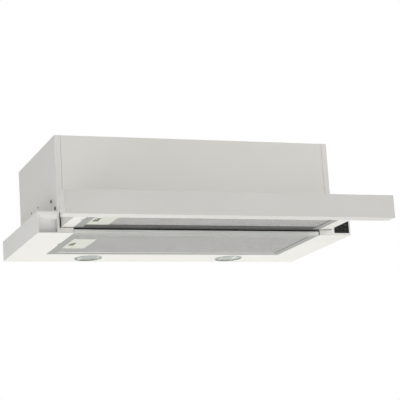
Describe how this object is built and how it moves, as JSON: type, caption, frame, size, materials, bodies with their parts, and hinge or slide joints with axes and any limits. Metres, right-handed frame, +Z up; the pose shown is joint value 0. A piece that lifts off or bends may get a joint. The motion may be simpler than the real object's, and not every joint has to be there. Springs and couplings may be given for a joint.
{
  "type": "slide-out range hood",
  "caption": "Slide-out range hood for a wall cabinet: flat tray with grease filters and lamps, pull-out visor with a box-section front panel, upper box with fan and duct spigot.",
  "frame": {"origin": "centre of the four cabinet screw holes, on the plane that seats against the underside of the cabinet", "axes": "+X to the right along the front panel, +Y to the back wall, +Z up"},
  "size_m": [0.6, 0.448, 0.2102],
  "materials": {
    "white_enamel": "satin warm white stove enamel",
    "white_plastic": "satin warm white moulding",
    "black_gloss": "gloss black acrylic",
    "button_grey": "satin black key caps",
    "board_green": "coated circuit board",
    "dark_steel": "black oxide screws",
    "zinc_steel": "zinc plated steel",
    "cage_steel": "plain spring steel with bright balls",
    "black_plastic": "satin black moulding",
    "bar_aluminium": "mill finish rolled bar",
    "mesh_aluminium": "expanded mesh",
    "ivory_plastic": "satin ivory moulding",
    "latch_olive": "satin olive moulding",
    "lamp_bezel": "satin grey bezel",
    "frosted_lens": "frosted ribbed lens"
  },
  "bodies": {
    "hood_body": {"blank_insert": "white_plastic", "box_back_panel": "white_enamel", "box_front_panel": "white_enamel", "box_side_left": "white_enamel", "box_side_right": "white_enamel", "box_top_panel": "white_enamel", "cable_gland": "black_plastic", "case_screws": "dark_steel", "control_board": "board_green", "control_housing": "white_plastic", "control_plate": "black_gloss", "damper_pin": "zinc_steel", "duct_collar": "black_plastic", "end_cap_left": "white_plastic", "end_cap_right": "white_plastic", "fan_inlet_cover": "black_plastic", "fan_motor": "zinc_steel", "fan_scroll": "black_plastic", "lamp_housing_left": "lamp_bezel", "lamp_housing_right": "lamp_bezel", "lamp_lens_left": "frosted_lens", "lamp_lens_right": "frosted_lens", "runner_fixed_left": "zinc_steel", "runner_fixed_right": "zinc_steel", "seat_plate": "white_enamel", "terminal_box": "black_plastic", "tray_filter_catch": "zinc_steel", "tray_underside": "white_enamel", "wing_wall_left": "white_enamel", "wing_wall_right": "white_enamel"},
    "visor": {"front_panel": "white_enamel", "panel_cap_left": "white_plastic", "panel_cap_right": "white_plastic", "visor_channel_left": "white_enamel", "visor_channel_right": "white_enamel", "visor_front_bar": "white_enamel", "visor_roof": "white_enamel", "visor_rear_bar": "black_plastic", "panel_screws": "zinc_steel", "runner_moving_left": "zinc_steel", "runner_moving_right": "zinc_steel", "visor_filter_catch": "zinc_steel"},
    "left_ball_cage": {"ball_cage_left": "cage_steel"},
    "right_ball_cage": {"ball_cage_right": "cage_steel"},
    "tray_filter": {"tray_filter_frame": "bar_aluminium", "tray_filter_mesh": "mesh_aluminium", "tray_latch_plate": "ivory_plastic"},
    "tray_latch": {"tray_latch_slide": "latch_olive"},
    "visor_filter": {"visor_filter_frame": "bar_aluminium", "visor_filter_mesh": "mesh_aluminium", "visor_latch_plate": "ivory_plastic"},
    "visor_latch": {"visor_latch_slide": "latch_olive"},
    "fan_rotor": {"impeller": "black_plastic", "motor_shaft": "zinc_steel"},
    "left_flap": {"damper_flap_left": "black_plastic"},
    "right_flap": {"damper_flap_right": "black_plastic"},
    "light_key": {"light_button": "button_grey"},
    "low_speed_key": {"low_speed_button": "button_grey"},
    "middle_speed_key": {"middle_speed_button": "button_grey"},
    "high_speed_key": {"high_speed_button": "button_grey"}
  },
  "joints": [
    {"name": "visor_slide", "type": "slide", "parent": "hood_body", "child": "visor", "axis": [0, -1, 0], "range_m": [-0.148, 0]},
    {"name": "left_cage_roll", "type": "slide", "parent": "hood_body", "child": "left_ball_cage", "axis": [0, -1, 0], "range_m": [-0.075, 0]},
    {"name": "right_cage_roll", "type": "slide", "parent": "hood_body", "child": "right_ball_cage", "axis": [0, -1, 0], "range_m": [-0.075, 0]},
    {"name": "tray_filter_tilt", "type": "hinge", "parent": "hood_body", "child": "tray_filter", "pos_m": [0.236, -0.037, -0.0375], "axis": [0, -1, 0], "range_deg": [0, 25], "deforming": ["tray_filter_catch"]},
    {"name": "tray_latch_pull", "type": "slide", "parent": "tray_filter", "child": "tray_latch", "axis": [1, 0, 0], "range_m": [0, 0.004], "stiffness_N_per_m": 300},
    {"name": "visor_filter_tilt", "type": "hinge", "parent": "visor", "child": "visor_filter", "pos_m": [0.236, -0.1975, -0.027], "axis": [0, -1, 0], "range_deg": [0, 25], "deforming": ["visor_filter_catch"]},
    {"name": "visor_latch_pull", "type": "slide", "parent": "visor_filter", "child": "visor_latch", "axis": [1, 0, 0], "range_m": [0, 0.004], "stiffness_N_per_m": 300},
    {"name": "fan_spin", "type": "hinge", "parent": "hood_body", "child": "fan_rotor", "pos_m": [0, 0.023, 0.06], "axis": [1, 0, 0], "continuous": true},
    {"name": "left_flap_lift", "type": "hinge", "parent": "hood_body", "child": "left_flap", "pos_m": [0, 0.05, 0.14155], "axis": [0, 1, 0], "range_deg": [0, 70]},
    {"name": "right_flap_lift", "type": "hinge", "parent": "hood_body", "child": "right_flap", "pos_m": [0, 0.05, 0.14155], "axis": [0, -1, 0], "range_deg": [0, 70]},
    {"name": "light_press", "type": "slide", "parent": "hood_body", "child": "light_key", "axis": [0, 1, 0], "range_m": [0, 0.001], "stiffness_N_per_m": 1500},
    {"name": "low_speed_press", "type": "slide", "parent": "hood_body", "child": "low_speed_key", "axis": [0, 1, 0], "range_m": [0, 0.001], "stiffness_N_per_m": 1500},
    {"name": "middle_speed_press", "type": "slide", "parent": "hood_body", "child": "middle_speed_key", "axis": [0, 1, 0], "range_m": [0, 0.001], "stiffness_N_per_m": 1500},
    {"name": "high_speed_press", "type": "slide", "parent": "hood_body", "child": "high_speed_key", "axis": [0, 1, 0], "range_m": [0, 0.001], "stiffness_N_per_m": 1500}
  ],
  "couplings": [
    {"joint": "left_cage_roll", "follows": "visor_slide", "ratio": 0.5},
    {"joint": "right_cage_roll", "follows": "visor_slide", "ratio": 0.5}
  ]
}
